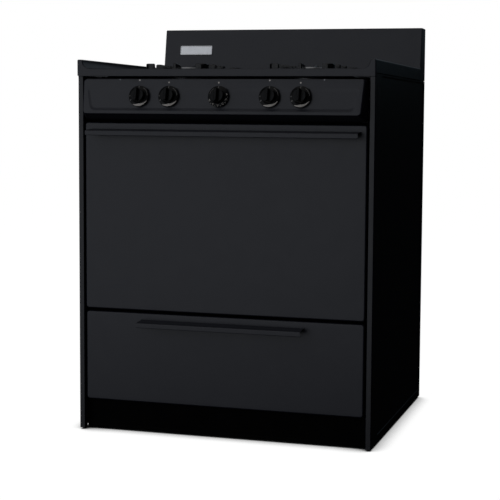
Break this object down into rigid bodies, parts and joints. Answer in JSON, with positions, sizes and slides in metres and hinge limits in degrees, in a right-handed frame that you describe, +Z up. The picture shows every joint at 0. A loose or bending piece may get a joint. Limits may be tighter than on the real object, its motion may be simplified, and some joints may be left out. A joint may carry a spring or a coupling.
{
  "type": "freestanding gas range",
  "caption": "Freestanding gas range: dished cooktop with burners and grates, sloped knob panel, solid oven door, broiler drawer and tall backguard.",
  "frame": {"origin": "on the floor, under the middle of the bounding box", "axes": "+Z up, front towards -Y, +X to the viewer's right"},
  "size_m": [0.762, 0.6968, 1.049],
  "materials": {
    "black_enamel": "semi-gloss black porcelain enamel on steel",
    "side_enamel": "darker baked enamel on the cabinet sides",
    "oven_enamel": "dark porcelain with fine flecks",
    "black_plastic": "moulded black phenolic",
    "badge_metal": "brushed bright plate",
    "cast_iron": "matte black coated iron",
    "aluminium": "cast and machined",
    "chrome": "bright plated wire and caps",
    "galvanised": "galvanised sheet",
    "black_steel": "black painted steel",
    "brass": "machined",
    "insulation": "mineral wool blanket",
    "gasket": "braided glass fibre"
  },
  "bodies": {
    "chassis": {"side_panel_left": "side_enamel", "side_panel_right": "side_enamel", "back_panel": "galvanised", "base_frame": "galvanised", "base_pan": "galvanised", "toe_kick": "black_steel", "front_frame": "black_steel", "leveling_legs": "black_plastic", "backguard": "black_enamel", "backguard_badge": "badge_metal", "control_panel": "black_enamel", "panel_screws": "galvanised", "gas_manifold": "black_steel", "burner_valves": "brass", "oven_thermostat": "brass", "gas_supply_pipe": "black_steel", "pressure_regulator": "aluminium", "burner_tubes": "aluminium", "burner_heads": "aluminium", "burner_caps": "chrome", "pilot_tubes": "aluminium", "top_rails": "galvanised", "oven_liner": "oven_enamel", "oven_bottom": "oven_enamel", "oven_insulation": "insulation", "oven_flue": "galvanised", "oven_burner": "galvanised", "flame_spreader": "galvanised", "oven_gasket": "gasket", "hinge_brackets": "galvanised", "broiler_liner": "galvanised", "drawer_rails": "galvanised"},
    "cooktop_body": {"cooktop": "black_enamel"},
    "oven_door": {"door_outer_panel": "black_enamel", "door_inner_panel": "oven_enamel", "door_insulation": "insulation", "door_handle": "black_enamel", "door_hinge_arms": "galvanised"},
    "broiler_drawer": {"drawer_front": "black_enamel", "drawer_handle": "black_enamel", "drawer_tray": "oven_enamel", "drawer_glides": "galvanised"},
    "broiler_pan_body": {"broiler_pan": "oven_enamel", "broiler_grid": "chrome"},
    "grate_left_front_body": {"grate_left_front": "cast_iron"},
    "grate_left_rear_body": {"grate_left_rear": "cast_iron"},
    "grate_right_front_body": {"grate_right_front": "cast_iron"},
    "grate_right_rear_body": {"grate_right_rear": "cast_iron"},
    "valve_stem_left_front": {"stem_left_front": "brass"},
    "knob_body_left_front": {"knob_left_front": "black_plastic"},
    "valve_stem_left_rear": {"stem_left_rear": "brass"},
    "knob_body_left_rear": {"knob_left_rear": "black_plastic"},
    "valve_stem_oven": {"stem_oven": "brass"},
    "knob_body_oven": {"knob_oven": "black_plastic"},
    "valve_stem_right_rear": {"stem_right_rear": "brass"},
    "knob_body_right_rear": {"knob_right_rear": "black_plastic"},
    "valve_stem_right_front": {"stem_right_front": "brass"},
    "knob_body_right_front": {"knob_right_front": "black_plastic"},
    "rack_upper_body": {"rack_upper": "chrome"},
    "rack_lower_body": {"rack_lower": "chrome"}
  },
  "joints": [
    {"name": "oven_door_hinge", "type": "hinge", "parent": "chassis", "child": "oven_door", "pos_m": [0, -0.28161, 0.322], "axis": [1, 0, 0], "range_deg": [0, 88]},
    {"name": "broiler_drawer_slide", "type": "slide", "parent": "chassis", "child": "broiler_drawer", "axis": [0, -1, 0], "range_m": [0, 0.35]},
    {"name": "broiler_pan_lift", "type": "slide", "parent": "broiler_drawer", "child": "broiler_pan_body", "axis": [0, 0, 1], "range_m": [0, 0.05]},
    {"name": "cooktop_lift", "type": "slide", "parent": "chassis", "child": "cooktop_body", "axis": [0, 0, 1], "range_m": [0, 0.12]},
    {"name": "grate_left_front_lift", "type": "slide", "parent": "cooktop_body", "child": "grate_left_front_body", "axis": [0, 0, 1], "range_m": [0, 0.1]},
    {"name": "grate_left_rear_lift", "type": "slide", "parent": "cooktop_body", "child": "grate_left_rear_body", "axis": [0, 0, 1], "range_m": [0, 0.1]},
    {"name": "grate_right_front_lift", "type": "slide", "parent": "cooktop_body", "child": "grate_right_front_body", "axis": [0, 0, 1], "range_m": [0, 0.1]},
    {"name": "grate_right_rear_lift", "type": "slide", "parent": "cooktop_body", "child": "grate_right_rear_body", "axis": [0, 0, 1], "range_m": [0, 0.1]},
    {"name": "knob_push_left_front", "type": "slide", "parent": "chassis", "child": "valve_stem_left_front", "axis": [0, 0.9746, -0.224], "range_m": [0, 0.003], "stiffness_N_per_m": 800, "springref_m": -0.004},
    {"name": "knob_turn_left_front", "type": "hinge", "parent": "valve_stem_left_front", "child": "knob_body_left_front", "pos_m": [-0.205, -0.31573, 0.845], "axis": [0, -0.9746, 0.224], "range_deg": [0, 270]},
    {"name": "knob_push_left_rear", "type": "slide", "parent": "chassis", "child": "valve_stem_left_rear", "axis": [0, 0.9746, -0.224], "range_m": [0, 0.003], "stiffness_N_per_m": 800, "springref_m": -0.004},
    {"name": "knob_turn_left_rear", "type": "hinge", "parent": "valve_stem_left_rear", "child": "knob_body_left_rear", "pos_m": [-0.128, -0.31573, 0.845], "axis": [0, -0.9746, 0.224], "range_deg": [0, 270]},
    {"name": "knob_push_oven", "type": "slide", "parent": "chassis", "child": "valve_stem_oven", "axis": [0, 0.9746, -0.224], "range_m": [0, 0.003], "stiffness_N_per_m": 800, "springref_m": -0.004},
    {"name": "knob_turn_oven", "type": "hinge", "parent": "valve_stem_oven", "child": "knob_body_oven", "pos_m": [0, -0.31573, 0.845], "axis": [0, -0.9746, 0.224], "range_deg": [0, 300]},
    {"name": "knob_push_right_rear", "type": "slide", "parent": "chassis", "child": "valve_stem_right_rear", "axis": [0, 0.9746, -0.224], "range_m": [0, 0.003], "stiffness_N_per_m": 800, "springref_m": -0.004},
    {"name": "knob_turn_right_rear", "type": "hinge", "parent": "valve_stem_right_rear", "child": "knob_body_right_rear", "pos_m": [0.128, -0.31573, 0.845], "axis": [0, -0.9746, 0.224], "range_deg": [0, 270]},
    {"name": "knob_push_right_front", "type": "slide", "parent": "chassis", "child": "valve_stem_right_front", "axis": [0, 0.9746, -0.224], "range_m": [0, 0.003], "stiffness_N_per_m": 800, "springref_m": -0.004},
    {"name": "knob_turn_right_front", "type": "hinge", "parent": "valve_stem_right_front", "child": "knob_body_right_front", "pos_m": [0.205, -0.31573, 0.845], "axis": [0, -0.9746, 0.224], "range_deg": [0, 270]},
    {"name": "rack_upper_slide", "type": "slide", "parent": "chassis", "child": "rack_upper_body", "axis": [0, -1, 0], "range_m": [0, 0.05]},
    {"name": "rack_lower_slide", "type": "slide", "parent": "chassis", "child": "rack_lower_body", "axis": [0, -1, 0], "range_m": [0, 0.05]}
  ]
}
